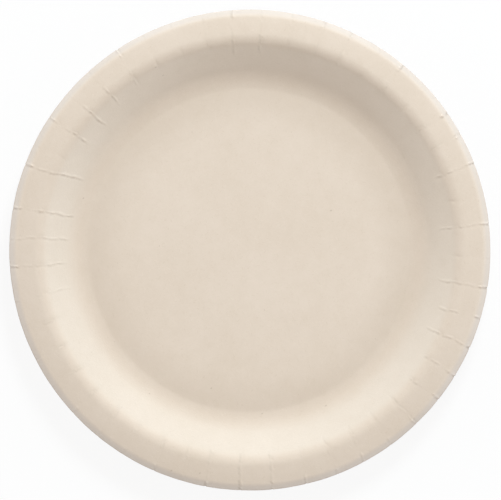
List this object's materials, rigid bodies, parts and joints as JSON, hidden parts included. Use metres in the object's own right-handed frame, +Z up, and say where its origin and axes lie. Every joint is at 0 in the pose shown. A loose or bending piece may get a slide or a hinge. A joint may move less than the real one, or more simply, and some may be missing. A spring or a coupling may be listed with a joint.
{
  "type": "disposable plate",
  "caption": "Round shallow dinner plate pressed from one disc of plant-fibre board, with a flat floor, a sloping wall and a folded, turned-down rim.",
  "frame": {"origin": "middle of the underside, on the surface that the plate rests on", "axes": "+Z up along the plate's axis, food side on top; X and Y are free because the plate is round"},
  "size_m": [0.2284, 0.2284, 0.0168],
  "materials": {
    "fibre_board": "uncoated pressed plant-fibre board, matt warm beige with small fibre flecks"
  },
  "bodies": {
    "root": {"plate": "fibre_board"}
  },
  "joints": []
}
